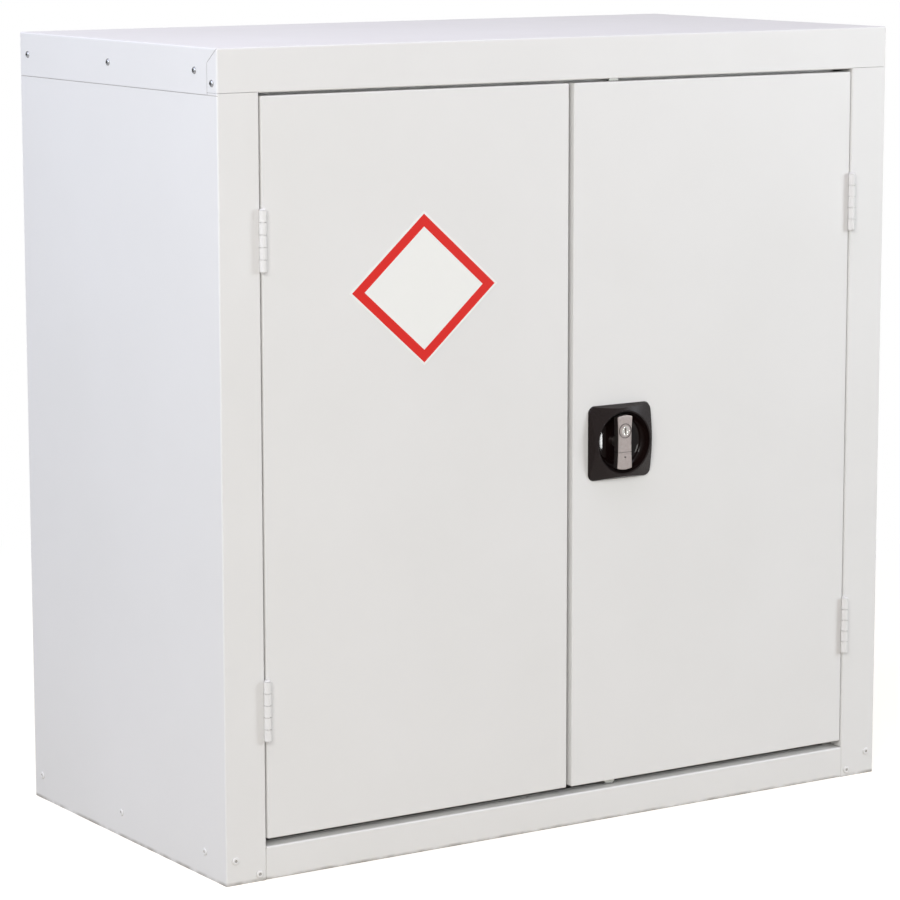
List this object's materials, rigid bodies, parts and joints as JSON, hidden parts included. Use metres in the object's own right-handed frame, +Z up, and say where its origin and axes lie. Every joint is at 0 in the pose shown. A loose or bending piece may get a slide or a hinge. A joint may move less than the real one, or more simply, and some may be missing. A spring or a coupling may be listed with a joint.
{
  "type": "acid storage cabinet",
  "caption": "Low steel cupboard for bottles of acid: two hinged doors with a dished rod lock, a folded top cap, a plinth, a spill sump in the base and a lipped shelf.",
  "frame": {"origin": "on the floor, under the middle of the carcass, at the underside of the sump tray", "axes": "+Z up, +Y from the doors to the back, +X to the right as one faces the doors"},
  "size_m": [0.9042, 0.4745, 0.9],
  "materials": {
    "cabinet_paint": "smooth powder coat, satin",
    "black_moulding": "fine texture",
    "lever_metal": "satin plated casting",
    "barrel_metal": "polished",
    "plated_steel": "zinc plated",
    "hinge_metal": "coated with the cabinet",
    "fastener_metal": "coated heads",
    "buffer_rubber": "matte"
  },
  "bodies": {
    "carcass": {"back_panel": "cabinet_paint", "back_rivets": "fastener_metal", "base_rivets": "fastener_metal", "base_sump": "cabinet_paint", "cap_screws": "fastener_metal", "door_buffers": "buffer_rubber", "left_front_upright": "cabinet_paint", "left_lower_hinge_frame_leaf": "hinge_metal", "left_lower_hinge_pin": "hinge_metal", "left_rear_upright": "cabinet_paint", "left_side_panel": "cabinet_paint", "left_upper_hinge_frame_leaf": "hinge_metal", "left_upper_hinge_pin": "hinge_metal", "plinth_rail": "cabinet_paint", "right_front_upright": "cabinet_paint", "right_lower_hinge_frame_leaf": "hinge_metal", "right_lower_hinge_pin": "hinge_metal", "right_rear_upright": "cabinet_paint", "right_side_panel": "cabinet_paint", "right_upper_hinge_frame_leaf": "hinge_metal", "right_upper_hinge_pin": "hinge_metal", "shelf_clips": "plated_steel", "shelf_tray": "cabinet_paint", "top_cap": "cabinet_paint"},
    "left_door": {"closing_strip": "cabinet_paint", "left_door_skin": "cabinet_paint", "left_door_stiffener": "cabinet_paint", "left_lower_hinge_door_leaf": "hinge_metal", "left_upper_hinge_door_leaf": "hinge_metal"},
    "right_door": {"lock_clamp_plate": "plated_steel", "lock_clamp_screws": "plated_steel", "lock_escutcheon": "black_moulding", "right_door_skin": "cabinet_paint", "right_door_stiffener": "cabinet_paint", "right_lower_hinge_door_leaf": "hinge_metal", "right_upper_hinge_door_leaf": "hinge_metal", "rod_guides": "plated_steel"},
    "lever": {"lock_lever": "lever_metal", "lock_spindle": "plated_steel", "lock_cam": "plated_steel", "cam_screw": "plated_steel"},
    "key_barrel": {"key_barrel": "barrel_metal"},
    "top_rod": {"upper_lock_rod": "plated_steel"},
    "bottom_rod": {"lower_lock_rod": "plated_steel"}
  },
  "joints": [
    {"name": "left_door_hinge", "type": "hinge", "parent": "carcass", "child": "left_door", "pos_m": [-0.3989, -0.234, 0.441], "axis": [0, 0, -1], "range_deg": [0, 170]},
    {"name": "right_door_hinge", "type": "hinge", "parent": "carcass", "child": "right_door", "pos_m": [0.3989, -0.234, 0.441], "axis": [0, 0, 1], "range_deg": [0, 170]},
    {"name": "lever_turn", "type": "hinge", "parent": "right_door", "child": "lever", "pos_m": [0.067, -0.2365, 0.441], "axis": [0, -1, 0], "range_deg": [0, 90]},
    {"name": "key_turn", "type": "hinge", "parent": "lever", "child": "key_barrel", "pos_m": [0.067, -0.238, 0.4544], "axis": [0, -1, 0], "range_deg": [0, 90]},
    {"name": "top_rod_slide", "type": "slide", "parent": "right_door", "child": "top_rod", "axis": [0, 0, 1], "range_m": [0, 0.0198]},
    {"name": "bottom_rod_slide", "type": "slide", "parent": "right_door", "child": "bottom_rod", "axis": [0, 0, -1], "range_m": [0, 0.0198]}
  ],
  "couplings": [
    {"joint": "top_rod_slide", "follows": "lever_turn", "m_per_rad": 0.012604},
    {"joint": "bottom_rod_slide", "follows": "lever_turn", "m_per_rad": 0.012604}
  ]
}
